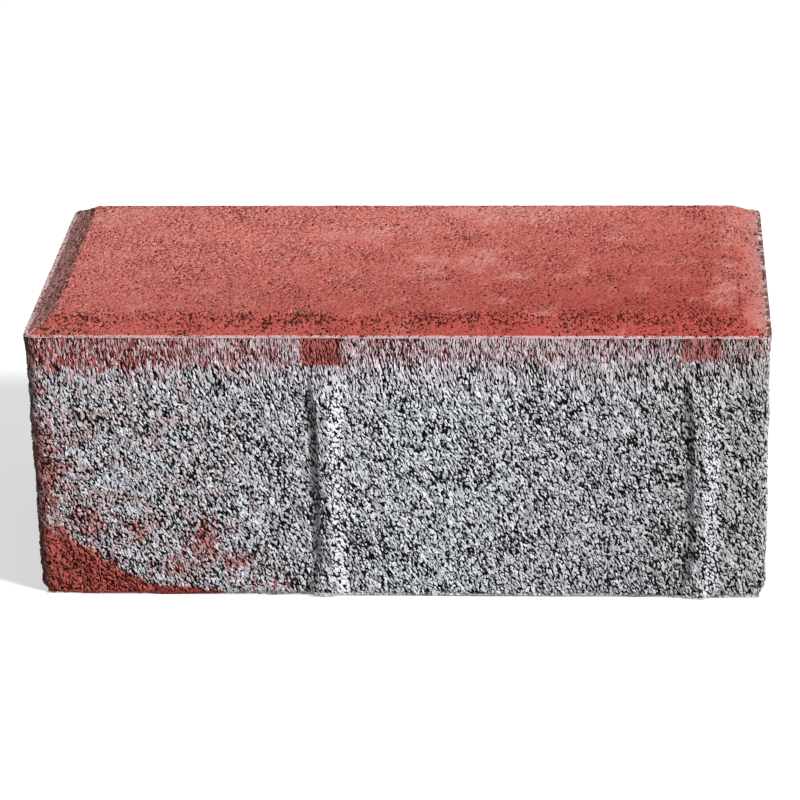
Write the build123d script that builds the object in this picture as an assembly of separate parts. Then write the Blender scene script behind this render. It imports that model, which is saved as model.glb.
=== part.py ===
from build123d import *
import os

# Concrete paving stone, pressed face up in one mould from two mixes.
# X runs along the stone, Y across it and Z up from its bed face. Lengths are in millimetres.

# Pressed block, measured without its nibs
BLOCK_LENGTH = 198.0
BLOCK_WIDTH = 98.0
BLOCK_HEIGHT = 80.0
CORNER_RADIUS = 3.0

# Pigmented facing mix, the upper part of the block's height
FACING_THICKNESS = 12.0

# Chamfer left by the press head, with the flat ledge outside it where the head clears the mould
CHAMFER_DROP = 4.0
CHAMFER_RUN = 6.5
CHAMFER_INNER_RADIUS = 1.2
LEDGE_WIDTH = 1.2

# Spacer nibs on the four sides, which keep the joint open to the next stone
NIB_PITCH = 100.0
NIB_END_DISTANCE = 18.5
NIB_REACH = 2.0
NIB_ROOT_WIDTH = 10.0
NIB_CROWN_WIDTH = 5.6
NIB_CROWN_RADIUS = 1.0
NIB_RUN_OUT = 8.0
NIB_TOP_CLEARANCE = 2.0
NIB_ROOT_DEPTH = 1.5

# Heights that follow from the sizes above
BACKING_HEIGHT = BLOCK_HEIGHT - FACING_THICKNESS
CHAMFER_FOOT = BLOCK_HEIGHT - CHAMFER_DROP
NIB_HEIGHT = BACKING_HEIGHT - NIB_TOP_CLEARANCE


def block_plan(inset, radius):
    """Plan of the block at one height, moved in from all four sides."""
    return RectangleRounded(BLOCK_LENGTH - 2 * inset, BLOCK_WIDTH - 2 * inset, radius)


def nib_section():
    """Plan of a nib on a side face along X: the root lies in the face, the crown stands out to -Y."""
    root = NIB_ROOT_WIDTH / 2
    crown = NIB_CROWN_WIDTH / 2
    outline = Polyline(
        (-root, NIB_ROOT_DEPTH),
        (-root, 0),
        (-crown, -NIB_REACH),
        (crown, -NIB_REACH),
        (root, 0),
        (root, NIB_ROOT_DEPTH),
        close=True,
    )
    section = make_face(outline)
    crown_corners = section.vertices().group_by(Axis.Y)[0]
    return fillet(crown_corners, NIB_CROWN_RADIUS)


def nib_side_view():
    """Side view of a nib: upright from the bed face, then running out into the side towards its top."""
    outline = Polyline(
        (NIB_ROOT_DEPTH, 0),
        (-NIB_REACH, 0),
        (-NIB_REACH, NIB_HEIGHT - NIB_RUN_OUT),
        (0, NIB_HEIGHT),
        (NIB_ROOT_DEPTH, NIB_HEIGHT),
        close=True,
    )
    return Plane.YZ * make_face(outline)


def make_nib():
    """One nib, as what its plan and its side view have in common."""
    upright = extrude(nib_section(), NIB_HEIGHT)
    run_out = extrude(nib_side_view(), NIB_ROOT_WIDTH / 2, both=True)
    return upright & run_out


def nib_places():
    """Each side is set out from its right-hand corner, seen from outside, so that nibs never meet."""
    places = []
    for quarter in range(4):
        side, across = BLOCK_LENGTH, BLOCK_WIDTH
        if quarter % 2:
            side, across = across, side
        count = 1 + int((side - 2 * NIB_END_DISTANCE) // NIB_PITCH)
        for number in range(count):
            along = side / 2 - NIB_END_DISTANCE - number * NIB_PITCH
            places.append(Rot(0, 0, quarter * 90) * Pos(along, -across / 2, 0))
    return places


def make_backing_concrete():
    """The grey body of the stone, with its nibs."""
    body = extrude(block_plan(0, CORNER_RADIUS), BACKING_HEIGHT)
    nib = make_nib()
    for place in nib_places():
        body += place * nib
    return body


def make_facing_layer():
    """The red wearing layer: an upright band, the ledge, and the chamfer up to the flat top."""
    band = extrude(block_plan(0, CORNER_RADIUS), FACING_THICKNESS - CHAMFER_DROP)
    foot_radius = max(CORNER_RADIUS - LEDGE_WIDTH, CHAMFER_INNER_RADIUS)
    foot = block_plan(LEDGE_WIDTH, foot_radius)
    top = block_plan(LEDGE_WIDTH + CHAMFER_RUN, CHAMFER_INNER_RADIUS)
    crown = loft([Pos(0, 0, CHAMFER_FOOT) * foot, Pos(0, 0, BLOCK_HEIGHT) * top], ruled=True)
    return Pos(0, 0, BACKING_HEIGHT) * band + crown


os.makedirs("parts", exist_ok=True)
sub_parts = {
    "backing_concrete": make_backing_concrete(),
    "facing_layer": make_facing_layer(),
}
for name, solid in sub_parts.items():
    export_step(solid, f"parts/{name}.step")
    size = solid.bounding_box().size
    print(name, "volume", round(solid.volume), "size", round(size.X, 2), round(size.Y, 2), round(size.Z, 2))
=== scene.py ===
# %% [markdown]
# # A pressed concrete paving stone
# The stone is one pressed block: a red facing mix on a grey backing mix. Its form is simple, so nearly all
# of its looks are surface: sand grains, the pores between them, and cement paste dragged up its sides.
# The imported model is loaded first, because every size below is set against its boxes.

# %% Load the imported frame
import math

import bpy
import numpy as np
from mathutils import Matrix, Vector
from mathutils.geometry import delaunay_2d_cdt


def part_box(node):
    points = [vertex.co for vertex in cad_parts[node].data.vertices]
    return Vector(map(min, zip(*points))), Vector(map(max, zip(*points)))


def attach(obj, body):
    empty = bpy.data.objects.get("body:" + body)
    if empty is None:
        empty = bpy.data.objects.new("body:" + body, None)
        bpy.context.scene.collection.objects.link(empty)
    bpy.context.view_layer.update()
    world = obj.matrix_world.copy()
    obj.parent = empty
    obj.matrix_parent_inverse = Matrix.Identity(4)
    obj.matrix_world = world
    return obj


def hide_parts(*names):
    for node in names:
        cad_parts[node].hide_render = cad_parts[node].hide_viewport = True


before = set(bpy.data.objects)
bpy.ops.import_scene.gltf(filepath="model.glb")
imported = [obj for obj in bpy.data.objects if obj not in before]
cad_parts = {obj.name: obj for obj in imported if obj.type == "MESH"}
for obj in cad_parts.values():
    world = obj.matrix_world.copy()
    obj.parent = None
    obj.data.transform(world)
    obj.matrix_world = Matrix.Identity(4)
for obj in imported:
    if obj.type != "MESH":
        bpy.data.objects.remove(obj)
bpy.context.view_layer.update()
MM = 0.001
print("nodes:", ", ".join(sorted(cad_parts)))

# %% [markdown]
# ## The sizes of the block
# A skin for each mix is laid over its solid, so the outer sizes are read from the frame's boxes. The
# smaller ones, such as the chamfer and the nibs, are the same named sizes as in the part's source.

# %% Sizes in millimetres
body_high = np.array(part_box("backing_concrete"))[1] / MM
face_low, face_high = np.array(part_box("facing_layer")) / MM
LENGTH, WIDTH, TOP = face_high[0] - face_low[0], face_high[1] - face_low[1], face_high[2]
SEAM = body_high[2]
CORNER_RADIUS = 3.0
LEDGE_HEIGHT = 76.0
LEDGE_WIDTH = 1.2
CHAMFER_RUN = 6.5
NIB_REACH = body_high[0] - face_high[0]
NIB_PITCH = 100.0
NIB_END_DISTANCE = 18.5
NIB_ROOT_WIDTH = 10.0
NIB_TOP = 66.0
NIB_RUN_OUT = 8.0
print(f"block {LENGTH:.1f} x {WIDTH:.1f} x {TOP:.1f} mm, seam at {SEAM:.1f}")

# %% [markdown]
# ## Rings round the block
# A skin is built as rings of points, one above the other, and a band of quads joins each ring to the next.
# All rings have the same count of points, so a ring can move in for the chamfer and still match the one
# below. The points are about a millimetre apart, because the grains come later as pieces of their own.

# %% Points of one ring
COLUMN_STEP = 1.0
CORNER_STEPS = 6
CORNER_ARC = CORNER_RADIUS * math.pi / 2


def side_length(quarter):
    """Length of a side: quarter 0 is the front, then the right end, the back and the left end."""
    return (LENGTH, WIDTH)[quarter % 2]


def ring(inset, radius):
    """Points of the block's plan moved in by inset, with the way out of the stone at each of them."""
    points, outward = [], []
    for quarter in range(4):
        reach = side_length(quarter) / 2 - inset - radius
        across = side_length(quarter + 1) / 2 - inset - radius
        count = round((side_length(quarter) - 2 * CORNER_RADIUS) / COLUMN_STEP)
        run = np.linspace(-reach, reach, count, endpoint=False)
        line = np.stack([run, np.full(count, -across - radius)], 1)
        turn = np.linspace(-math.pi / 2, 0, CORNER_STEPS, endpoint=False)
        corner = np.stack([reach + radius * np.cos(turn), -across + radius * np.sin(turn)], 1)
        angle = np.concatenate([np.full(count, -math.pi / 2), turn]) + quarter * math.pi / 2
        quarter_turn = np.array(Matrix.Rotation(quarter * math.pi / 2, 2)).T
        points.append(np.concatenate([line, corner]) @ quarter_turn)
        outward.append(np.stack([np.cos(angle), np.sin(angle)], 1))
    return np.concatenate(points), np.concatenate(outward)


outline, outline_out = ring(0.0, CORNER_RADIUS)
COLUMNS = len(outline)
step_lengths = np.linalg.norm(np.roll(outline, -1, 0) - outline, axis=1)
around = np.concatenate([[0], np.cumsum(step_lengths)])
PERIMETER = around[-1]
around = around[:-1]
print("points in a ring:", COLUMNS, "perimeter", round(PERIMETER, 1), "mm")

# %% [markdown]
# ## Where the wall stands out
# Two nibs stand on each long side and one on each end, set out from the side's right-hand corner. On the
# real stone their right flanks have crumbled, and their left flanks stand up crisp beside a strip that is
# bare of paste. The bottom edge of both ends is worn. All of this only takes material away from the packed
# form, so it is left to the skin.

# %% Where the nibs are along the outline
SIDE_STARTS = [0.0]
for quarter in range(4):
    SIDE_STARTS.append(SIDE_STARTS[-1] + side_length(quarter) - 2 * CORNER_RADIUS + CORNER_ARC)
end_middles = [(SIDE_STARTS[quarter] + SIDE_STARTS[quarter + 1] - CORNER_ARC) / 2 for quarter in (1, 3)]
nib_middles = []
for quarter in range(4):
    side = side_length(quarter)
    far_corner = SIDE_STARTS[quarter] + side - CORNER_RADIUS
    for number in range(1 + int((side - 2 * NIB_END_DISTANCE) // NIB_PITCH)):
        nib_middles.append(far_corner - NIB_END_DISTANCE - number * NIB_PITCH)
print("nibs at", [round(middle, 1) for middle in nib_middles], "mm along the outline")

# %% Form of the nibs and of the worn edge
# A left flank rises FLANK_STEP of the nib's height within FLANK_WIDTH, and the rest over its shoulder.
# The bare strip beside it widens over BARE_RISE from its foot up, and narrows over BARE_FADE to the top.
BARE_FLANK = 2.7
BARE_FOOT = 3.0
BARE_RISE = 8.0
BARE_FADE = 30.0
FLANK_STEP = 0.75
FLANK_WIDTH = 0.8
SHOULDER_WIDTH = 2.7
CRUMBLED_FLANK = 3.8
LANE_EDGE = 0.5
WORN_DEPTH = 1.9
WORN_REACH = 5.0
WORN_HEIGHT = 4.5


def nib_form(along, height):
    """How far the wall stands out at a place, and the lane: 1 in line with a nib, 0 beside it."""
    offsets = np.array([along - middle for middle in nib_middles])
    nearest = np.min(np.abs(offsets), axis=0)
    side_of_nib = np.take_along_axis(offsets, np.abs(offsets).argmin(0)[None], 0)[0]
    bared = BARE_FLANK * np.clip((height - BARE_FOOT) / BARE_RISE, 0, 1)
    bared *= np.clip((TOP - height) / BARE_FADE, 0.5, 1)
    inside = NIB_ROOT_WIDTH / 2 + side_of_nib - bared
    step = FLANK_STEP * inside / FLANK_WIDTH
    shoulder = FLANK_STEP + (1 - FLANK_STEP) * (inside - FLANK_WIDTH) / SHOULDER_WIDTH
    crumbled = (NIB_ROOT_WIDTH / 2 - side_of_nib) / CRUMBLED_FLANK
    section = np.clip(np.min([step, shoulder, crumbled], axis=0), 0, 1)
    run_out = np.clip((NIB_TOP - height) / NIB_RUN_OUT, 0, 1)
    lane = np.clip((NIB_ROOT_WIDTH / 2 + LANE_EDGE - nearest) / LANE_EDGE, 0, 1)
    from_end = np.min([np.abs((along - middle + PERIMETER / 2) % PERIMETER - PERIMETER / 2)
                       for middle in end_middles], axis=0) - (WIDTH + CORNER_ARC) / 2 + CORNER_RADIUS
    worn = np.clip(1 - from_end / WORN_REACH, 0, 1) * np.clip(1 - height / WORN_HEIGHT, 0, 1) ** 2
    return NIB_REACH * np.minimum(section, run_out) - WORN_DEPTH * worn, lane


# %% [markdown]
# ## One skin from rings and a lid
# Both skins are closed: rings up the side, a fine lid of triangles where the face shows, and one plain
# flat face where the two mixes meet inside. Each point also keeps four things for later: its place
# before weathering, the way into the stone, and how near it is to a nib's lane and to the chamfer's edge.
# The colours and the relief are worked out from the kept place, so they agree wherever they meet.

# %% Fill a flat outline with an even net of triangles
LID_SCATTER = 0.2
scatter = np.random.default_rng(7)


def lid(outline_points, spacing):
    """Extra points inside a flat outline, and the triangles that join them to it."""
    low, high = outline_points.min(0) + spacing, outline_points.max(0) - spacing
    counts = np.ceil((high - low) / spacing).astype(int)
    axes = [np.linspace(low[i], high[i], counts[i]) for i in (0, 1)]
    net = np.stack(np.meshgrid(*axes, indexing="ij"), -1).reshape(-1, 2)
    net += scatter.uniform(-LID_SCATTER, LID_SCATTER, net.shape) * spacing
    every = np.concatenate([outline_points, net])
    outline_face = [list(range(len(outline_points)))]
    made = delaunay_2d_cdt([Vector(point) for point in every], [], outline_face, 1, 1e-5, False)
    assert len(made[0]) == len(every)
    return net, np.array(made[2])


# %% Put an object in the scene


def put_in_scene(name, data):
    """A new object that shows the given mesh, or is the given camera or lamp."""
    made = bpy.data.objects.new(name, data)
    bpy.context.collection.objects.link(made)
    return made


# %% Keep values at the points of a mesh


def keep(mesh, **values):
    """Stores named values at a mesh's points: three numbers each, or one."""
    for label, numbers in values.items():
        vector = np.ndim(numbers) == 2
        made = mesh.attributes.new(label, "FLOAT_VECTOR" if vector else "FLOAT", "POINT")
        made.data.foreach_set("vector" if vector else "value", np.ravel(numbers).astype(np.float32))


# %% [markdown]
# ## A flat layout
# When the model is handed on, the colours of a piece can be kept as one image. For that each piece is laid
# out flat with little waste: a lid as it is seen from above, and the sides as strips beside it.

# %% Lay a mesh out flat


def lay_flat(mesh, u, v):
    """Keeps a flat layout: u and v, from 0 to 1, for every corner of every face."""
    layout = mesh.uv_layers.new(name="OFBake")
    spread = np.clip(np.stack([u, v], 1), 0.001, 0.999)
    layout.uv.foreach_set("vector", spread.astype(np.float32).ravel())


def lay_skin_flat(mesh, places, faces):
    """The lid fills the lower half, the sides are four strips above it, the hidden last face is apart."""
    turned = np.empty(len(faces) * 3)
    mesh.polygons.foreach_get("normal", turned)
    corners_of_face = [len(face) for face in faces]
    normal = np.repeat(turned.reshape(-1, 3), corners_of_face, axis=0)
    x, y, height = places[np.concatenate([np.array(face) for face in faces])].T
    reach = np.abs(x).max()
    ends = np.abs(normal[:, 0]) > np.abs(normal[:, 1])
    strip = 2 * ends + (np.where(ends, normal[:, 0], normal[:, 1]) > 0)
    rise = (height - height.min()) / np.ptp(height)
    level = np.abs(normal[:, 2]) > 0.5
    u = 0.5 + 0.49 * np.where(ends & ~level, y, x) / reach
    v = np.where(level, 0.25 + 0.49 * y / reach, 0.51 + 0.115 * strip + 0.11 * rise)
    hidden = slice(-corners_of_face[-1], None)
    u[hidden] = 0.05 + 0.04 * x[hidden] / reach
    v[hidden] = 0.985 + 0.015 * y[hidden] / reach
    lay_flat(mesh, u, v)


# %% Where pores crowd along the chamfer
ARRIS_MIDDLE = 1.6
ARRIS_SPREAD = 2.8


def arris_nearness(places):
    """1 just outside the chamfer's upper edge, falling to 0 within some millimetres. The front is worst."""
    inner = np.array([LENGTH, WIDTH]) / 2 - LEDGE_WIDTH - CHAMFER_RUN
    apart = np.abs(places[:, :2]) - inner
    near = np.exp(-np.square((apart.max(1) - ARRIS_MIDDLE) / ARRIS_SPREAD))
    on_front = (apart[:, 1] > apart[:, 0]) & (places[:, 1] < 0)
    on_back = (apart[:, 1] > apart[:, 0]) & (places[:, 1] > 0)
    on_left = (apart[:, 0] >= apart[:, 1]) & (places[:, 0] < 0)
    share = np.select([on_front, on_back, on_left], [1.0, 0.7, 0.6], 0.15)
    return near * share * (places[:, 2] > LEDGE_HEIGHT)


# %% Build a skin


def skin(name, profile, lid_height, lid_spacing, lid_is_top):
    """A closed mesh from (inset, radius, height, slope) rings. slope 0 faces sideways, 90 straight up."""
    places, inward = [], []
    for inset, radius, height, slope in profile:
        plan, out = ring(inset, radius)
        raised, lane = nib_form(around, height)
        places.append(np.column_stack([plan + out * raised[:, None], np.full(COLUMNS, height)]))
        tilt = math.radians(slope)
        inward.append(np.column_stack([-out * math.cos(tilt), np.full(COLUMNS, -math.sin(tilt))]))
    ring_count = len(profile)
    lid_start = (ring_count - 1) * COLUMNS if lid_is_top else 0
    net, triangles = lid(places[-1 if lid_is_top else 0][:, :2], lid_spacing)
    triangles = np.where(triangles < COLUMNS, triangles + lid_start,
                         triangles + (ring_count - 1) * COLUMNS)
    places.append(np.column_stack([net, np.full(len(net), lid_height)]))
    inward.append(np.tile([0, 0, -1.0 if lid_is_top else 1.0], (len(net), 1)))
    row = np.arange(ring_count - 1)[:, None] * COLUMNS
    here = np.arange(COLUMNS)[None, :]
    beside = (here + 1) % COLUMNS
    quads = np.stack([row + here, row + beside, row + beside + COLUMNS, row + here + COLUMNS], -1)
    meeting = np.arange(COLUMNS)[::-1] if lid_is_top else np.arange(COLUMNS) + (ring_count - 1) * COLUMNS
    faces = quads.reshape(-1, 4).tolist()
    faces += (triangles if lid_is_top else triangles[:, ::-1]).tolist()
    faces.append(meeting.tolist())
    places = np.concatenate(places)
    mesh = bpy.data.meshes.new(name)
    mesh.from_pydata(places * MM, [], faces)
    lanes = np.concatenate([np.tile(lane, ring_count), np.zeros(len(net))])
    keep(mesh, rest=places, inward=np.concatenate(inward), lane=lanes, arris=arris_nearness(places))
    lay_skin_flat(mesh, places, faces)
    mesh.shade_smooth()
    print(name, len(places), "points,", 2 * quads[..., 0].size + len(triangles) + COLUMNS, "triangles")
    return put_in_scene(name, mesh)


# %% The skin of the backing mix
ROW_STEP = 2.0
BED_EDGE = 1.4
heights = np.linspace(BED_EDGE, SEAM, round((SEAM - BED_EDGE) / ROW_STEP) + 1)
backing_profile = [(1.6, CORNER_RADIUS + 1.5, 0.0, -75), (1.1, CORNER_RADIUS + 1.0, 0.4, -45)]
backing_profile += [(0.0, CORNER_RADIUS, height, 0) for height in heights]
backing = skin("grey_backing", backing_profile, lid_height=0.0, lid_spacing=0.8, lid_is_top=False)

# %% The skin of the facing mix
BAND_ROWS = 9
CHAMFER_ROWS = 14
CHAMFER_DROP = TOP - LEDGE_HEIGHT
FOOT_RADIUS = CORNER_RADIUS - LEDGE_WIDTH
INNER_RADIUS = 1.2
CHAMFER_END = LEDGE_WIDTH + CHAMFER_RUN
band = [(0.0, CORNER_RADIUS, height, 0) for height in np.linspace(SEAM, LEDGE_HEIGHT - 0.7, BAND_ROWS)]
arris = [(0.0, CORNER_RADIUS, LEDGE_HEIGHT - 0.4, 0), (0.1, CORNER_RADIUS - 0.1, LEDGE_HEIGHT - 0.08, 45)]
ledge = [(0.4, CORNER_RADIUS - 0.4, LEDGE_HEIGHT, 90), (LEDGE_WIDTH, FOOT_RADIUS, LEDGE_HEIGHT, 80)]
slope = math.degrees(math.atan2(CHAMFER_RUN, CHAMFER_DROP))
chamfer = []
for share in np.linspace(0.06, 0.94, CHAMFER_ROWS):
    radius = FOOT_RADIUS + (INNER_RADIUS - FOOT_RADIUS) * share
    chamfer.append((LEDGE_WIDTH + CHAMFER_RUN * share, radius, LEDGE_HEIGHT + CHAMFER_DROP * share, slope))
rim = [(CHAMFER_END, INNER_RADIUS, TOP - 0.07, 75), (CHAMFER_END + 0.5, INNER_RADIUS, TOP, 90)]
facing_profile = band + arris + ledge + chamfer + rim
facing = skin("red_facing", facing_profile, lid_height=TOP, lid_spacing=0.5, lid_is_top=True)

# %% [markdown]
# ## One function that adds a node
# Materials and the relief are both node trees, and both are written with this one function. A kind without
# the word Node in it is a shader node. A node given as a link stands for its result.

# %% Add a node with its settings and links


def add(tree, kind, links=None, **settings):
    """Adds one node: settings are its properties, links its inputs by name or number."""
    node = tree.nodes.new(kind if "Node" in kind else "ShaderNode" + kind)
    for name, value in settings.items():
        setattr(node, name, value)
    for name, value in (links or {}).items():
        named = [socket for socket in node.inputs if socket.enabled and socket.name == name]
        socket = named[0] if named else node.inputs[name]
        if isinstance(value, bpy.types.Node):
            value = [result for result in value.outputs if result.enabled][0]
        if isinstance(value, bpy.types.NodeSocket):
            tree.links.new(value, socket)
        else:
            socket.default_value = value
    return node


def empty_tree(owner):
    """The node tree of a material or of the world, cleared."""
    owner.use_nodes = True
    owner.node_tree.nodes.clear()
    return owner.node_tree


def linear(hex_colour):
    """An sRGB hex value as the linear colour that a shader takes."""
    parts = [int(hex_colour[i : i + 2], 16) / 255 for i in (1, 3, 5)]
    return tuple(c / 12.92 if c <= 0.04045 else ((c + 0.055) / 1.055) ** 2.4 for c in parts) + (1.0,)


# %% [markdown]
# ## Relief of the skins
# Three surfaces of the block were made in three ways. The mould's wall leaves sand grains with hollows
# between them: the skin is only the bottom of those hollows, and the grains come later as pieces of their
# own. The press head closes the top almost smooth, with small pores that crowd along the chamfer's upper
# edge. The bed face took the print of the board it was pressed on, flat and open. The Scale of a noise is
# written as 1 over the size of its spots in mm.

# %% Hollows of the wall, in mm below the mould


def wall_relief(tree, place):
    """Depth of the hollows between the grains on the sides."""
    upright = add(tree, "VectorMath", {0: place, 1: (1.0, 1.0, 0.6)}, operation="MULTIPLY")
    lumps = add(tree, "TexNoise", {"Vector": upright, "Scale": 1 / 1.6, "Detail": 2.0, "Roughness": 0.6})
    depth = add(tree, "MapRange", {
        "Value": lumps.outputs[0], "From Min": 0.35, "From Max": 0.65, "To Min": 1.0, "To Max": 1.5})
    split = add(tree, "SeparateXYZ", {0: place})
    under_lip = add(tree, "MapRange", {
        "Value": split.outputs[2], "From Min": LEDGE_HEIGHT - 0.8, "From Max": LEDGE_HEIGHT - 0.4,
        "To Min": 1.0, "To Max": 0.1})
    return add(tree, "Math", {0: depth, 1: under_lip}, operation="MULTIPLY")


# %% Print of the board on the bed face
BED_GRAIN = 1.7


def bed_relief(tree, place):
    """Depth on the bed face: flat grains, some sunk, with crevices round them."""
    wobble = add(tree, "TexNoise", {"Vector": place, "Scale": 1 / 0.9, "Detail": 1.0})
    loose = add(tree, "VectorMath", {
        0: wobble.outputs[1], 1: (0.9,) * 3, 2: place}, operation="MULTIPLY_ADD")
    edge = add(tree, "TexVoronoi", {"Vector": loose, "Scale": 1 / BED_GRAIN}, feature="DISTANCE_TO_EDGE")
    grain = add(tree, "TexVoronoi", {"Vector": loose, "Scale": 1 / BED_GRAIN}, feature="F1")
    numbers = add(tree, "SeparateXYZ", {0: grain.outputs["Color"]})
    sunk = add(tree, "MapRange", {"Value": numbers.outputs[0], "From Min": 0.5, "To Max": 0.8})
    crevice = add(tree, "MapRange", {"Value": edge, "From Max": 0.2, "To Min": 0.6, "To Max": 0.0})
    sand = add(tree, "TexNoise", {"Vector": place, "Scale": 1 / 0.5, "Detail": 1.0})
    rough = add(tree, "Math", {0: sand.outputs[0], 1: 0.3, 2: crevice}, operation="MULTIPLY_ADD")
    return add(tree, "Math", {0: rough, 1: sunk}, operation="ADD")


# %% Pores of the pressed face
PORE_SIZE = 0.66


def face_relief(tree, place, near_arris):
    """Depth on the top, the chamfer and the ledge: torn pores in clusters, in a surface of fine crumbs."""
    crumbs = add(tree, "TexNoise", {"Vector": place, "Scale": 1 / 0.6, "Detail": 2.0, "Roughness": 0.7})
    wobble = add(tree, "TexNoise", {"Vector": place, "Scale": 1 / 0.9, "Detail": 1.0})
    loose = add(tree, "VectorMath", {
        0: wobble.outputs[1], 1: (1.2,) * 3, 2: place}, operation="MULTIPLY_ADD")
    torn = add(tree, "TexNoise", {"Vector": loose, "Scale": 1 / PORE_SIZE, "Detail": 2.0})
    cluster = add(tree, "TexNoise", {"Vector": place, "Scale": 1 / 11.0, "Detail": 2.0})
    level = add(tree, "Math", {
        0: cluster.outputs[0], 1: 0.25, 2: torn.outputs[0]}, operation="MULTIPLY_ADD")
    level = add(tree, "Math", {0: near_arris, 1: 0.055, 2: level}, operation="MULTIPLY_ADD")
    pit = add(tree, "MapRange", {"Value": level, "From Min": 0.71, "From Max": 0.79, "To Max": 0.7})
    return add(tree, "Math", {0: crumbs.outputs[0], 1: 0.38, 2: pit}, operation="MULTIPLY_ADD")


# %% Relief of each skin


def backing_relief(tree, place, near_arris):
    """The bed face below and the wall above it. The chamfer's edge plays no part here."""
    split = add(tree, "SeparateXYZ", {0: place})
    upper = add(tree, "MapRange", {"Value": split.outputs[2], "From Min": 0.1, "From Max": 1.0})
    bed = bed_relief(tree, place)
    wall = wall_relief(tree, place)
    return add(tree, "Mix", {"Factor": upper, "A": bed, "B": wall}, data_type="FLOAT")


def facing_relief(tree, place, near_arris):
    """The wall up to the ledge and the pressed face above it."""
    split = add(tree, "SeparateXYZ", {0: place})
    upper = add(tree, "MapRange", {
        "Value": split.outputs[2], "From Min": LEDGE_HEIGHT - 0.3, "From Max": LEDGE_HEIGHT - 0.05})
    wall = wall_relief(tree, place)
    face = face_relief(tree, place, near_arris)
    return add(tree, "Mix", {"Factor": upper, "A": wall, "B": face}, data_type="FLOAT")


# %% [markdown]
# ## Press the relief into the skins
# Geometry nodes move each point straight into the stone by its depth. The result is then kept as a plain
# mesh, so nothing is left to work out later. Points only go in, so the stone keeps its packed size.

# %% Move the points


def press(piece, relief):
    """Moves every point of a skin in by its relief and keeps the result as the piece's mesh."""
    tree = bpy.data.node_groups.new("press_" + piece.name, "GeometryNodeTree")
    tree.interface.new_socket("Geometry", in_out="INPUT", socket_type="NodeSocketGeometry")
    tree.interface.new_socket("Geometry", in_out="OUTPUT", socket_type="NodeSocketGeometry")
    entry = add(tree, "NodeGroupInput")
    rest = add(tree, "GeometryNodeInputNamedAttribute", {"Name": "rest"}, data_type="FLOAT_VECTOR")
    inward = add(tree, "GeometryNodeInputNamedAttribute", {"Name": "inward"}, data_type="FLOAT_VECTOR")
    near = add(tree, "GeometryNodeInputNamedAttribute", {"Name": "arris"}, data_type="FLOAT")
    metres = add(tree, "Math", {0: relief(tree, rest, near), 1: MM}, operation="MULTIPLY")
    step = add(tree, "VectorMath", {0: inward, "Scale": metres}, operation="SCALE")
    moved = add(tree, "GeometryNodeSetPosition", {"Geometry": entry, "Offset": step})
    add(tree, "NodeGroupOutput", {"Geometry": moved})
    modifier = piece.modifiers.new("relief", "NODES")
    modifier.node_group = tree
    before = np.empty(len(piece.data.vertices) * 3)
    piece.data.vertices.foreach_get("co", before)
    seen = bpy.context.evaluated_depsgraph_get()
    plain = piece.data
    piece.data = bpy.data.meshes.new_from_object(piece.evaluated_get(seen), depsgraph=seen)
    piece.modifiers.clear()
    bpy.data.meshes.remove(plain)
    bpy.data.node_groups.remove(tree)
    piece.data.name = piece.name
    after = np.empty(len(piece.data.vertices) * 3)
    piece.data.vertices.foreach_get("co", after)
    depth = np.linalg.norm((after - before).reshape(-1, 3), axis=1) / MM
    print(piece.name, "depth in mm: mean", round(depth.mean(), 3), "deepest", round(depth.max(), 2))


press(backing, backing_relief)
press(facing, facing_relief)

# %% [markdown]
# ## Sand grains on the sides
# The raking light of the photograph picks out single grains, and a moved skin would need a point every
# fifth of a millimetre to show their edges. Small lumps with eight triangles each do it for far less. Each
# is laid out on the unrolled wall, turned at random, cut off flush by the mould's wall, and then wrapped
# round the outline and over the nibs. They are flat shaded, as crushed sand is angular. Low on the wall
# the crevices between them lean a little. Towards the top the grains are drawn out upright, because the
# block was pushed out of the mould along its wall. Soft hills make every row wander, as sand has no rows.

# %% Wrap the unrolled wall round the stone


def wrap(along, height, depth):
    """Places for points of the unrolled wall, the same points out on the wall, and the lane there."""
    along = along % PERIMETER
    x, y, out_x, out_y = (np.interp(along, around, column, period=PERIMETER)
                          for column in (*outline.T, *outline_out.T))
    length = np.hypot(out_x, out_y)
    raised, lane = nib_form(along, height)
    surface = np.stack([x + out_x * raised / length, y + out_y * raised / length, height], -1)
    place = surface - np.stack([out_x, out_y, np.zeros_like(x)], -1) * (depth / length)[..., None]
    return place.reshape(-1, 3), surface.reshape(-1, 3), lane.ravel()


# %% The shape of a grain
GRAIN = np.array([(1, 0, 0), (-1, 0, 0), (0, 1, 0), (0, -1, 0), (0, 0, 1), (0, 0, -1)]) / 2
GRAIN_FACES = [(x, y, z) if (x + y + z) % 2 == 0 else (z, y, x)
               for x in (0, 1) for y in (2, 3) for z in (4, 5)]


def grain_offsets(count, sizes, lots):
    """Corners of uneven eight-sided grains about their middles, each turned its own way."""
    corners = (GRAIN + lots.uniform(-0.16, 0.16, (count, 6, 3))) * lots.uniform(0.7, 1.0, (count, 1, 3))
    turn = lots.normal(size=(4, count))
    w, a, b, c = turn / np.linalg.norm(turn, axis=0)
    spin = np.array([[1 - 2 * (b * b + c * c), 2 * (a * b - c * w), 2 * (a * c + b * w)],
                     [2 * (a * b + c * w), 1 - 2 * (a * a + c * c), 2 * (b * c - a * w)],
                     [2 * (a * c - b * w), 2 * (b * c + a * w), 1 - 2 * (a * a + b * b)]])
    return corners @ spin.transpose(2, 0, 1) * sizes[:, None, None]


# %% Soft hills over the wall


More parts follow.
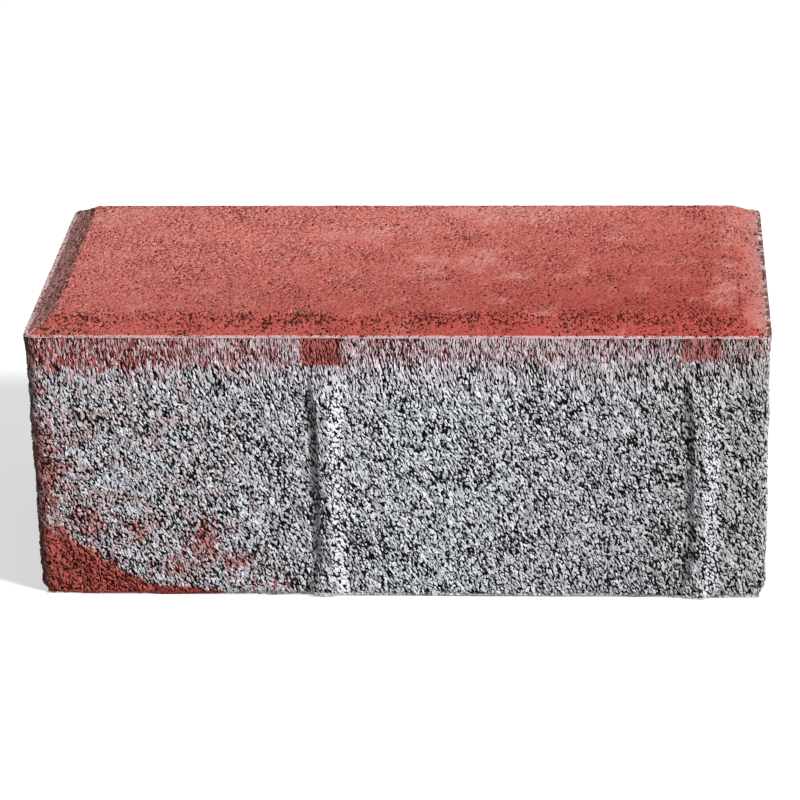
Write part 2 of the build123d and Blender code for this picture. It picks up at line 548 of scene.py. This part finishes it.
def hills(along, height, size, seed):
    """Soft hills about size mm apart, from -1 to 1, which meet again after one trip round the outline."""
    columns = round(PERIMETER / size)
    grid = np.random.default_rng(seed).uniform(-1, 1, (columns, round(90 / size) + 2))
    u, v = along % PERIMETER * columns / PERIMETER, height / size
    i, j = u.astype(int) % columns, v.astype(int)
    a, b = u - u.astype(int), v - j
    a, b = a * a * (3 - 2 * a), b * b * (3 - 2 * b)
    beside = (i + 1) % columns
    low = grid[i, j] * (1 - a) + grid[beside, j] * a
    high = grid[i, j + 1] * (1 - a) + grid[beside, j + 1] * a
    return low * (1 - b) + high * b


# %% Lay out the grains of one stretch of wall
SAND_TOP = LEDGE_HEIGHT - 0.2
GRAIN_LEAST = 1.1
GRAIN_RANGE = 1.2
DRAG_FROM = 56.0
SUNK_LEAST = -0.05
SUNK_RANGE = 1.0
FLUSH_DEPTH = 0.5
FLUSH_FADE = 5.0
# Size and depth in mm of each set of hills
FLUSH_LEVELS = ((2.6, 0.20), (1.3, 0.35))
OPENNESS = ((5.0, 0.20), (1.8, 0.12), (14.0, 0.04))
CREVICE_LEAN = 0.35
WANDER = 0.35
WANDER_SIZE = 2.2
DRAG_MOST = 1.2
LAYOUT_GAP = 2.0


def flush_level(along, height):
    """Depth of the paste that the mould's wall pressed flat. It is never quite flat."""
    ripples = sum(deep * hills(along, height, size, int(100 * size)) for size, deep in FLUSH_LEVELS)
    return (FLUSH_DEPTH + ripples) * np.clip((LEDGE_HEIGHT - height) / FLUSH_FADE, 0.15, 1.0)


def shape_on_wall(middles, offsets, flush):
    """(along, height, depth, depth below the paste) of all corners, which the wall cuts off flush."""
    along = middles[:, None, 0] + offsets[..., 0]
    height = np.clip(middles[:, None, 1] + offsets[..., 2], 0.05, SAND_TOP)
    along = along + WANDER * hills(along, height, WANDER_SIZE, 5)
    level = flush_level(along, height)
    below = np.maximum(middles[:, None, 2] + offsets[..., 1], flush[:, None])
    rounded = np.clip(0.9 - height, 0, None) ** 2
    return np.stack([along, height, below + level + rounded, below], -1)


def exposed_sand(name, start, end, low, high, spacing, seed):
    """Grains on the wall from start to end along the outline and from low to high, in mm."""
    lots = np.random.default_rng(seed)
    columns, rows = round((end - start) / spacing), round((high - low) / spacing)
    count = columns * rows
    cell = np.stack(np.meshgrid(np.arange(columns), np.arange(rows), indexing="ij"), -1).reshape(-1, 2)
    share = (cell + lots.uniform(0, 1, (count, 2))) / (columns, rows)
    spot = share * (end - start, high - low) + (start, low)
    opened = sum(deep * hills(*spot.T, size, seed) for size, deep in OPENNESS)
    sizes = spacing * (GRAIN_LEAST + GRAIN_RANGE * lots.uniform(0, 1, count) ** 1.5)
    offsets = grain_offsets(count, sizes, lots)
    dragged = np.clip((spot[:, 1] - DRAG_FROM) / (LEDGE_HEIGHT - DRAG_FROM), 0, 1)
    drawn = (1 + DRAG_MOST * dragged) * lots.uniform(1.0, 1.9, count)
    offsets *= np.stack([drawn ** -0.5, np.ones(count), drawn], -1)[:, None, :]
    offsets[..., 0] -= CREVICE_LEAN * (1 - dragged[:, None]) * offsets[..., 2]
    sunk = SUNK_LEAST + SUNK_RANGE * lots.uniform(0, 1, count) ** 1.3 + opened
    grains = shape_on_wall(np.column_stack([spot, sunk]), offsets, lots.uniform(0.0, 0.1, count))
    faces = (np.arange(count)[:, None, None] * 6 + GRAIN_FACES).reshape(-1, 3)
    along, height, depth, below = grains.reshape(-1, 4).T
    faces = faces[np.argsort(-depth[faces].mean(1))]
    places, surface, lane = wrap(along, height, np.maximum(depth, 0.02))
    mesh = bpy.data.meshes.new(name)
    mesh.from_pydata(places * MM, [], faces.tolist())
    tone = np.repeat(lots.uniform(0, 1, count), 6)
    keep(mesh, rest=surface, lane=lane, sunk=below, tone=tone)
    folds = round(math.sqrt((end - start) / (high - low)))
    fold_length = (end - start) / folds
    fold = np.repeat(np.minimum((spot[:, 0] - start) / fold_length, folds - 0.5).astype(int), 6)
    u = (along - start - fold * fold_length + LAYOUT_GAP) / (fold_length + 2 * LAYOUT_GAP)
    v = (fold + (height - low + LAYOUT_GAP) / (high - low + 2 * LAYOUT_GAP)) / folds
    lay_flat(mesh, u[faces.ravel()], v[faces.ravel()])
    print(name, count, "grains,", len(faces), "triangles")
    return put_in_scene(name, mesh)


# %% Grains on all four sides
# The last two numbers are the spacing of the grains in mm, finest on the front, and the draws' seed.
starts = [start - CORNER_ARC / 2 for start in SIDE_STARTS]
front_start, right_start, back_start, left_start, front_again = starts
halfway = (front_start + right_start) / 2
grey_sand = [
    exposed_sand("grey_sand_front_left", front_start, halfway, 0.0, SEAM, 0.6, 11),
    exposed_sand("grey_sand_front_right", halfway, right_start, 0.0, SEAM, 0.6, 12),
    exposed_sand("grey_sand_right_end", right_start, back_start, 0.0, SEAM, 0.85, 13),
    exposed_sand("grey_sand_back", back_start, left_start, 0.0, SEAM, 0.85, 14),
    exposed_sand("grey_sand_left_end", left_start, front_again, 0.0, SEAM, 0.85, 15),
]
red_sand = [
    exposed_sand("red_sand_front", front_start, right_start, SEAM, SAND_TOP, 0.45, 16),
    exposed_sand("red_sand_other_sides", right_start, front_again, SEAM, SAND_TOP, 0.68, 17),
]

# %% [markdown]
# ## Colour of the sides
# The wall of the mould smears both mixes. Grey paste is wiped over the proud grains of the red band in fine
# upright streaks, except above the nibs, where the mould has a groove and the red stays clean. Red from
# the facing has run down into the lower left corner. The grey is pinkish to the left, mauve under the band
# and warmer to the right. The crowns of the nibs are rubbed pale. Painted shade darkens the strips beside
# the nibs' left flanks and the front left corner. The deeper a grain lies, the darker it is painted, as
# painted shade, because the photograph shows the crevices almost black. Grey grains just below the paste
# are painted a little lighter than the flush paste, as a painted highlight on their rims.

# %% Blots


def blot(tree, place, middle, size):
    """1 in the middle of an ellipsoid, 0 on its surface and negative outside it."""
    offset = add(tree, "VectorMath", {0: place, 1: middle}, operation="SUBTRACT")
    scaled = add(tree, "VectorMath", {0: offset, 1: size}, operation="DIVIDE")
    length = add(tree, "VectorMath", {0: scaled}, operation="LENGTH")
    return add(tree, "Math", {0: 1.0, 1: length.outputs["Value"]}, operation="SUBTRACT")


# %% The red band under the ledge
DRIP_SIZE = (1.6, 1.6, 3.5)
WIPE_SIZE = (0.62, 0.62, 2.8)
BAND_FOOT = 67.3
BAND_TILT = -0.017


def band_share(tree, place, lane, sunk):
    """Share of bare red on the upper part of the sides: 1 is red, 0 is grey."""
    split = add(tree, "SeparateXYZ", {0: place})
    upright = add(tree, "VectorMath", {0: place, 1: DRIP_SIZE}, operation="DIVIDE")
    drips = add(tree, "TexNoise", {"Vector": upright, "Scale": 1.0, "Detail": 3.0})
    ragged = add(tree, "MapRange", {"Value": drips.outputs[0], "To Min": -5.0, "To Max": 5.0})
    outside = add(tree, "Math", {0: 1.0, 1: lane}, operation="SUBTRACT")
    ragged = add(tree, "Math", {0: ragged, 1: outside}, operation="MULTIPLY")
    level = add(tree, "Math", {
        0: split.outputs[0], 1: BAND_TILT, 2: split.outputs[2]}, operation="MULTIPLY_ADD")
    level = add(tree, "Math", {0: level, 1: ragged}, operation="ADD")
    red = add(tree, "MapRange", {"Value": level, "From Min": BAND_FOOT, "From Max": BAND_FOOT + 1.0})
    fine = add(tree, "VectorMath", {0: place, 1: WIPE_SIZE}, operation="DIVIDE")
    wipes = add(tree, "TexNoise", {"Vector": fine, "Scale": 1.0, "Detail": 2.0, "Roughness": 0.6})
    fewer_left = add(tree, "MapRange", {
        "Value": split.outputs[0], "From Min": -99.0, "From Max": -10.0, "To Min": 0.13, "To Max": 0.0})
    fewer_deep = add(tree, "MapRange", {
        "Value": sunk, "From Min": 0.1, "From Max": 0.5, "To Min": -0.05, "To Max": 0.2})
    wiped = add(tree, "Math", {0: wipes.outputs[0], 1: fewer_left}, operation="SUBTRACT")
    wiped = add(tree, "Math", {0: wiped, 1: fewer_deep}, operation="SUBTRACT")
    covered = add(tree, "MapRange", {"Value": wiped, "From Min": 0.39, "From Max": 0.5, "To Max": 0.95})
    covered = add(tree, "Math", {0: covered, 1: outside}, operation="MULTIPLY")
    bare = add(tree, "Math", {0: 1.0, 1: covered}, operation="SUBTRACT")
    thin_film = add(tree, "MapRange", {
        "Value": split.outputs[0], "From Min": -25.0, "From Max": 75.0, "To Min": 0.94, "To Max": 0.78})
    bare = add(tree, "Math", {0: bare, 1: thin_film}, operation="MULTIPLY")
    return add(tree, "Math", {0: red, 1: bare}, operation="MULTIPLY")


# %% The red stain in the lower left corner
STAIN_CORNER = (-99.0, -49.0, 0.0)
STAIN_REACH = (36.0, 24.0, 24.0)
# Middle, size and strength of each
SMEARS = (
    ((-98, -49, 35), (16, 12, 40), 0.8),
    ((-96, -49, 60), (9, 9, 12), 0.5),
    ((-84, -49, 22), (16, 6, 14), 0.62),
    ((-71, -49, 19), (9, 5, 9), 0.65),
    ((-53, -49, 16), (10, 5, 16), 0.74),
    ((-44, -49, 10), (13, 5, 7), 0.65),
    ((-60, -49, 8), (16, 5, 9), 0.6),
    ((-34, -49, 3), (26, 6, 5), 0.55),
)


def stain_share(tree, place):
    """Share of red that ran down: a solid corner with a thin foot, and broken smears beside it."""
    corner = add(tree, "VectorMath", {0: place, 1: STAIN_CORNER}, operation="SUBTRACT")
    corner = add(tree, "VectorMath", {0: corner, 1: STAIN_REACH}, operation="DIVIDE")
    rise = add(tree, "VectorMath", {0: corner, 1: (1.0, 1.0, 1.0)}, operation="DOT_PRODUCT")
    solid = add(tree, "Math", {0: 1.0, 1: rise.outputs["Value"]}, operation="SUBTRACT")
    foot = blot(tree, place, (-76.0, -49.0, 0.0), (28.0, 12.0, 3.0))
    solid = add(tree, "Math", {0: solid, 1: foot}, operation="MAXIMUM")
    ragged = add(tree, "TexNoise", {"Vector": place, "Scale": 1 / 3.0, "Detail": 4.0, "Roughness": 0.7})
    solid = add(tree, "Math", {0: ragged.outputs[0], 1: 0.7, 2: solid}, operation="MULTIPLY_ADD")
    solid = add(tree, "MapRange", {"Value": solid, "From Min": 0.32, "From Max": 0.42})
    broken = 0.0
    for middle, size, strength in SMEARS:
        one = add(tree, "Math", {0: blot(tree, place, middle, size), 1: strength}, operation="MULTIPLY")
        broken = add(tree, "Math", {0: one, 1: broken}, operation="MAXIMUM")
    dabs = add(tree, "TexNoise", {"Vector": place, "Scale": 1 / 1.4, "Detail": 3.0, "Roughness": 0.6})
    broken = add(tree, "Math", {0: broken, 1: 0.48, 2: dabs.outputs[0]}, operation="MULTIPLY_ADD")
    broken = add(tree, "MapRange", {"Value": broken, "From Min": 0.68, "From Max": 0.8, "To Max": 0.85})
    return add(tree, "Math", {0: solid, 1: broken}, operation="MAXIMUM")


# %% Colour of the sides
GREY_PASTE = "#e6e9f0"
GREY_SAND = "#c9ccd3"
RED_MIX = "#bb5d54"
PINK_FILM = "#cfa5a1"
MAUVE_PASTE = "#e2cdd4"
WARM_SAND = "#aaa6a2"
RUBBED_CROWN = "#f1f4fb"
# Painted shade, for the front left corner that turns away from the lamp and beside the nibs' left flanks
PAINTED_SHADE = "#4a403e"
# Way (0 is along X, 2 is up), from where to where, how much there is at both places, and of what colour
GREY_FILMS = (
    (0, -99, 0, 0.8, 0, PINK_FILM),
    (2, 60, 71, 0, 0.7, MAUVE_PASTE),
    (0, 10, 99, 0, 0.6, WARM_SAND),
    (2, 58, 64, 0.2, 0, RUBBED_CROWN),
)
# Where along X shade is painted beside a nib's left flank, and how much
NIB_FLANK_SHADE = ((-22.4, 0.5), (77.6, 0.2))
# Painted light by depth: painted shade in the hollows, and a small painted highlight on the grey grains'
# rims.
# Depth in mm, and how much of the colour is left there
GREY_SHADE = ((0.0, 0.9), (0.12, 1.0), (0.27, 0.75), (0.4, 0.17), (0.6, 0.015))
RED_SHADE = ((0.0, 1.0), (0.3, 0.8), (0.6, 0.3), (1.0, 0.12))


def darkened(tree, colour, sunk, levels):
    """The colour times a painted shade that depends on the depth in mm."""
    shade = add(tree, "ValToRGB", {0: sunk})
    stops = shade.color_ramp.elements
    stops.remove(stops[1])
    for number, (depth, level) in enumerate(levels):
        stop = stops[0] if number == 0 else stops.new(depth)
        stop.position = depth
        stop.color = (level, level, level, 1)
    return add(tree, "Mix", {
        "Factor": 1.0, "A": colour, "B": shade}, data_type="RGBA", blend_type="MULTIPLY")


def side_colour(tree, place, lane, sunk, tone):
    """The colour of the sides, for a place and a depth in mm and a grain's own tone from 0 to 1, with
    painted shade.
    """
    split = add(tree, "SeparateXYZ", {0: place})
    grey = add(tree, "Mix", {
        "Factor": tone, "A": linear(GREY_SAND), "B": linear(GREY_PASTE)}, data_type="RGBA")
    mist = add(tree, "TexNoise", {"Vector": place, "Scale": 1 / 4.5, "Detail": 3.0, "Roughness": 0.6})
    patchy = add(tree, "MapRange", {"Value": mist.outputs[0], "From Min": 0.42, "From Max": 0.62})
    films = zip(GREY_FILMS, (patchy, 1.0, 1.0, lane))
    for (way, start, end, at_start, at_end, hex_colour), limit in films:
        share = add(tree, "MapRange", {
            "Value": split.outputs[way], "From Min": start, "From Max": end,
            "To Min": at_start, "To Max": at_end})
        share = add(tree, "Math", {0: share, 1: limit}, operation="MULTIPLY")
        grey = add(tree, "Mix", {"Factor": share, "A": grey, "B": linear(hex_colour)}, data_type="RGBA")
    speck = add(tree, "MapRange", {"Value": tone, "From Min": 0.996, "From Max": 0.998, "To Max": 0.6})
    red = add(tree, "Math", {
        0: band_share(tree, place, lane, sunk), 1: stain_share(tree, place)}, operation="MAXIMUM")
    red = add(tree, "Math", {0: red, 1: speck}, operation="MAXIMUM")
    grey = darkened(tree, grey, sunk, GREY_SHADE)
    bare = darkened(tree, linear(RED_MIX), sunk, RED_SHADE)
    mixed = add(tree, "Mix", {"Factor": red, "A": grey, "B": bare}, data_type="RGBA")
    # Painted shade at the front left corner and in the nibs' shadows beside their left flanks, over all
    # other colour
    corner = blot(tree, place, (-99.0, -47.0, 38.0), (4.6, 4.2, 300.0))
    shade_share = add(tree, "MapRange", {"Value": corner, "From Max": 0.5, "To Max": 0.8})
    for nib_left, most in NIB_FLANK_SHADE:
        beside = blot(tree, place, (nib_left, -50.0, 32.0), (1.8, 6.0, 42.0))
        beside = add(tree, "MapRange", {"Value": beside, "From Max": 0.5, "To Max": most})
        shade_share = add(tree, "Math", {0: shade_share, 1: beside}, operation="MAXIMUM")
    return add(tree, "Mix", {"Factor": shade_share, "A": mixed, "B": linear(PAINTED_SHADE)}, data_type="RGBA")


# %% [markdown]
# ## Colour of the face
# Iron oxide colours the whole facing mix. It is deepest at the front right, and a thin dusty film of cement
# dulls it in patches. The chamfer is a deeper red than the top, its short runs at the ends are dusty, and
# the ledge outside it is a pale line of cement with painted shade at the right end. Pores are painted a
# very dark red, as painted shade in them.

# %% Colour of the face
FACE_LIGHT = "#f3998f"
FACE_DEEP = "#ad4b43"
FACE_DUST = "#e39f95"
# Painted shade in the pores
PORE_SHADE_RED = "#45120f"
LEFT_CHAMFER_DUST = "#e0a8a1"
RIGHT_CHAMFER_DUST = "#b48c85"
LEDGE_DUST = "#e3ced2"
# Painted shade for the ledge's right end
LEDGE_SHADE = "#4a2c2a"
# From where to where along X, how much, and of what colour
END_DUST = (
    (-90, -94, 0.8, LEFT_CHAMFER_DUST),
    (90.5, 98, 0.6, RIGHT_CHAMFER_DUST),
)
# Middle and size of each patch
DUST_PATCHES = (
    ((6, -12, TOP), (9, 9, 9)),
    ((25, 34, TOP), (34, 12, 12)),
    ((16, -4, TOP), (22, 10, 9)),
    ((-83, 33, TOP), (18, 16, 9)),
    ((-12, 20, TOP), (20, 11, 9)),
    ((88, -20, TOP), (8, 22, 9)),
    ((91, 24, TOP), (8, 26, 9)),
    ((30, -14, TOP), (8, 4, 9)),
)


def face_colour(tree, place, depth):
    """The colour of the top, the chamfer and the ledge."""
    split = add(tree, "SeparateXYZ", {0: place})
    grainy = add(tree, "TexNoise", {"Vector": place, "Scale": 1 / 0.55, "Detail": 2.0, "Roughness": 0.7})
    grains = add(tree, "MapRange", {"Value": grainy.outputs[0], "From Min": 0.38, "From Max": 0.62})
    front_right = add(tree, "VectorMath", {0: place, 1: (1 / 400, -1 / 190, 0.0)}, operation="DOT_PRODUCT")
    deeper = add(tree, "MapRange", {
        "Value": front_right.outputs["Value"], "From Min": -0.2, "From Max": 0.35,
        "To Min": 1.0, "To Max": 0.0})
    grains = add(tree, "Math", {0: grains, 1: deeper}, operation="MULTIPLY")
    red = add(tree, "Mix", {
        "Factor": grains, "A": linear(FACE_DEEP), "B": linear(FACE_LIGHT)}, data_type="RGBA")
    patches = 0.0
    for middle, size in DUST_PATCHES:
        patches = add(tree, "Math", {0: blot(tree, place, middle, size), 1: patches}, operation="MAXIMUM")
    drift = add(tree, "TexNoise", {"Vector": place, "Scale": 1 / 9.0, "Detail": 5.0, "Roughness": 0.7})
    dusty = add(tree, "Math", {0: patches, 1: 0.25, 2: drift.outputs[0]}, operation="MULTIPLY_ADD")
    dusty = add(tree, "MapRange", {"Value": dusty, "From Min": 0.54, "From Max": 0.74, "To Max": 0.48})
    sloping = add(tree, "MapRange", {
        "Value": split.outputs[2], "From Min": TOP - 0.5, "From Max": TOP, "To Min": 0.45, "To Max": 0.0})
    films = [(dusty, FACE_DUST), (sloping, FACE_DEEP)]
    mitre = add(tree, "VectorMath", {0: place}, operation="ABSOLUTE")
    mitre = add(tree, "VectorMath", {0: mitre, 1: (1.0, -1.0, 0.0)}, operation="DOT_PRODUCT")
    past_mitre = add(tree, "MapRange", {
        "Value": mitre.outputs["Value"], "From Min": 49.4, "From Max": 50.4})
    for start, end, most, dust in END_DUST:
        at_end = add(tree, "MapRange", {
            "Value": split.outputs[0], "From Min": start, "From Max": end, "To Max": most})
        at_end = add(tree, "Math", {0: at_end, 1: past_mitre}, operation="MULTIPLY")
        films.append((at_end, dust))
    for share, hex_colour in films:
        red = add(tree, "Mix", {"Factor": share, "A": red, "B": linear(hex_colour)}, data_type="RGBA")
    on_ledge = add(tree, "MapRange", {
        "Value": split.outputs[2], "From Min": LEDGE_HEIGHT, "From Max": LEDGE_HEIGHT + 0.15,
        "To Min": 0.65, "To Max": 0.0})
    # Painted shade in ragged dabs on the ledge at the right end
    right_end = add(tree, "MapRange", {"Value": split.outputs[0], "From Min": 96.8, "From Max": 97.8})
    shade_dabs = add(tree, "TexNoise", {"Vector": place, "Scale": 1 / 2.2, "Detail": 2.0})
    shade_dabs = add(tree, "MapRange", {"Value": shade_dabs.outputs[0], "From Min": 0.4, "From Max": 0.55})
    ledge_shade_share = add(tree, "Math", {0: right_end, 1: shade_dabs}, operation="MULTIPLY")
    ledge = add(tree, "Mix", {
        "Factor": ledge_shade_share, "A": linear(LEDGE_DUST), "B": linear(LEDGE_SHADE)}, data_type="RGBA")
    red = add(tree, "Mix", {"Factor": on_ledge, "A": red, "B": ledge}, data_type="RGBA")
    # Painted shade: the deeper a pore, the nearer its colour to the dark pore red
    hollow = add(tree, "MapRange", {"Value": depth, "From Min": 0.28, "From Max": 0.4, "To Max": 0.95})
    return add(tree, "Mix", {"Factor": hollow, "A": red, "B": linear(PORE_SHADE_RED)}, data_type="RGBA")


# %% [markdown]
# ## The materials
# Concrete is rough all over: cement paste scatters light and has only a faint sheen where it is smooth.
# The skins' bump uses the same relief as their mesh, so that it adds only what is finer than the mesh.

# %% Materials


def start_material(name):
    """A material with an empty node tree, and the values kept at the mesh's points."""
    made = bpy.data.materials.new(name)
    tree = empty_tree(made)
    kept = {label: add(tree, "Attribute", attribute_name=label)
            for label in ("rest", "lane", "arris", "sunk", "tone")}
    values = {label: node.outputs["Vector" if label == "rest" else "Fac"] for label, node in kept.items()}
    return made, tree, values


# How much sheen is left, how much of the painted shade of crevices is kept on the bed face, how strong the
# face's bump is, and the tone of a skin among the grains' tones from 0 to 1
PORE_SHEEN = 0.2
BED_SHADE = 0.3
FACE_CRISPNESS = 1.2
SKIN_TONE = 0.35


def finish_material(tree, colour, height, roughness):
    """The concrete's own shader: IOR 1.5 is that of cement and quartz, and its pores swallow most sheen."""
    bump = add(tree, "Bump", {"Height": height, "Strength": 1.0, "Distance": 1.0})
    surface = add(tree, "BsdfPrincipled", {
        "Base Color": colour, "Roughness": roughness, "IOR": 1.5, "Specular IOR Level": PORE_SHEEN,
        "Normal": bump})
    add(tree, "OutputMaterial", {"Surface": surface})


def vibro_pressed_concrete():
    """The grey skin: matt paste, painted nearly black in the hollows between the grains as painted shade,
    and less dark on the bed.
    """
    made, tree, kept = start_material("vibro_pressed_concrete")
    depth = backing_relief(tree, kept["rest"], kept["arris"])
    split = add(tree, "SeparateXYZ", {0: kept["rest"]})
    openness = add(tree, "MapRange", {
        "Value": split.outputs[2], "From Min": 0.1, "From Max": 1.0, "To Min": BED_SHADE})
    dark_depth = add(tree, "Math", {0: depth, 1: openness}, operation="MULTIPLY")
    colour = side_colour(tree, kept["rest"], kept["lane"], dark_depth, SKIN_TONE)
    height = add(tree, "Math", {0: depth, 1: -MM}, operation="MULTIPLY")
    finish_material(tree, colour, height, 0.93)
    return made


def iron_oxide_facing_mix():
    """The red skin: the same hollows on the sides, and above them the dense face, a little less matt."""
    made, tree, kept = start_material("iron_oxide_facing_mix")
    depth = facing_relief(tree, kept["rest"], kept["arris"])
    side = side_colour(tree, kept["rest"], kept["lane"], depth, SKIN_TONE)
    face = face_colour(tree, kept["rest"], depth)
    split = add(tree, "SeparateXYZ", {0: kept["rest"]})
    upper = add(tree, "MapRange", {
        "Value": split.outputs[2], "From Min": LEDGE_HEIGHT - 0.35, "From Max": LEDGE_HEIGHT - 0.25})
    colour = add(tree, "Mix", {"Factor": upper, "A": side, "B": face}, data_type="RGBA")
    height = add(tree, "Math", {0: depth, 1: -FACE_CRISPNESS * MM}, operation="MULTIPLY")
    dull = add(tree, "MapRange", {"Value": depth, "From Max": 0.4, "To Min": 0.8, "To Max": 0.95})
    finish_material(tree, colour, height, dull)
    return made


def paste_coated_sand():
    """Grains of the sides, each with its own tone of the cement paste that coats it, with painted shade by
    depth, and no gloss.
    """
    made, tree, kept = start_material("paste_coated_sand")
    colour = side_colour(tree, kept["rest"], kept["lane"], kept["sunk"], kept["tone"])
    fine = add(tree, "TexNoise", {"Vector": kept["rest"], "Scale": 1 / 0.4, "Detail": 2.0})
    height = add(tree, "Math", {0: fine.outputs[0], 1: 0.25 * MM}, operation="MULTIPLY")
    finish_material(tree, colour, height, 0.9)
    return made


backing.data.materials.append(vibro_pressed_concrete())
facing.data.materials.append(iron_oxide_facing_mix())
sandy = paste_coated_sand()
for piece in (*grey_sand, *red_sand):
    piece.data.materials.append(sandy)

# %% Where the pieces belong
skins = ((backing, "backing_concrete", "backing_mix"), (facing, "facing_layer", "facing_mix"))
for piece, node, slot in skins:
    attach(piece, "root")
    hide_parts(node)
for piece in grey_sand:
    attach(piece, "root")
for piece in red_sand:
    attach(piece, "root")
print("pieces:", 2 + len(grey_sand) + len(red_sand))

# %% [markdown]
# ## The camera
# The photograph was taken with a long lens from a little above, so the sides hardly converge. The place
# and the angles come from matching the block's edges in the photograph.

# %% Camera
CAMERA_PLACE = (0.0614, -0.8779, 0.4160)
LOOK_DOWN = math.radians(23.3)
TURN_LEFT = math.radians(4.16)
LEAN = math.radians(-1.48)

camera_data = bpy.data.cameras.new("camera")
camera_data.lens = 153.9
camera_data.sensor_width = 36.0
camera = put_in_scene("camera", camera_data)
turned = Matrix.Rotation(TURN_LEFT, 4, "Z")
tilted = Matrix.Rotation(math.pi / 2 - LOOK_DOWN, 4, "X")
leaned = Matrix.Rotation(LEAN, 4, "Z")
camera.matrix_world = Matrix.Translation(CAMERA_PLACE) @ turned @ tilted @ leaned
scene = bpy.context.scene
scene.camera = camera
scene.view_settings.view_transform = "Standard"
print("camera is", round(math.dist(CAMERA_PLACE, (0, 0, 0.04)), 3), "m from the stone")

# %% [markdown]
# ## Floor, world and lamp
# The floor is white paper. Seen by the camera it glows a little, so that it stays white where the lamp
# reaches it and turns pale grey in the stone's shadow. From below it is clear. One soft box from the upper
# right rakes across the front, which is what makes the grains stand out.

# %% Floor
FLOOR_RADIUS = 4.0
FLOOR_GLOW = 0.55
floor_mesh = bpy.data.meshes.new("floor")
turns = np.linspace(0, 2 * math.pi, 96, endpoint=False)
floor_edge = [(FLOOR_RADIUS * math.cos(turn), FLOOR_RADIUS * math.sin(turn), 0) for turn in turns]
floor_mesh.from_pydata(floor_edge, [], [range(len(turns))])
floor = put_in_scene("floor", floor_mesh)
paper = bpy.data.materials.new("white_paper")
tree = empty_tree(paper)
path = add(tree, "LightPath")
side_seen = add(tree, "NewGeometry")
diffuse = add(tree, "BsdfDiffuse", {"Color": linear("#d8d8d8")})
glow_strength = add(tree, "Math", {0: path.outputs["Is Camera Ray"], 1: FLOOR_GLOW}, operation="MULTIPLY")
glow = add(tree, "Emission", {"Color": (1, 1, 1, 1), "Strength": glow_strength})
lit = add(tree, "AddShader", {0: diffuse, 1: glow})
clear = add(tree, "BsdfTransparent")
either = add(tree, "MixShader", {0: side_seen.outputs["Backfacing"], 1: lit, 2: clear})
add(tree, "OutputMaterial", {"Surface": either})
floor_mesh.materials.append(paper)

# %% World and lamp
FILL_LEVEL = 0.25
world = bpy.data.worlds.new("studio")
scene.world = world
tree = empty_tree(world)
path = add(tree, "LightPath")
soft = add(tree, "Background", {"Color": (1, 1, 1, 1), "Strength": FILL_LEVEL})
white = add(tree, "Background", {"Color": (1, 1, 1, 1), "Strength": 1.0})
seen = add(tree, "MixShader", {0: path.outputs["Is Camera Ray"], 1: soft, 2: white})
add(tree, "OutputWorld", {"Surface": seen})

KEY_FROM = Vector((0.66, -0.42, 0.62)).normalized()
KEY_DISTANCE = 1.5
KEY_LEVEL = 1.33
key_data = bpy.data.lights.new("key", "AREA")
key_data.shape = "SQUARE"
key_data.size = 0.25
key_data.energy = KEY_LEVEL * math.pi ** 2 * KEY_DISTANCE ** 2
key = put_in_scene("key", key_data)
key.location = KEY_FROM * KEY_DISTANCE + Vector((0, 0, 0.04))
key.rotation_euler = (-KEY_FROM).to_track_quat("-Z", "Y").to_euler()
print("lamp power", round(key_data.energy, 1), "W")
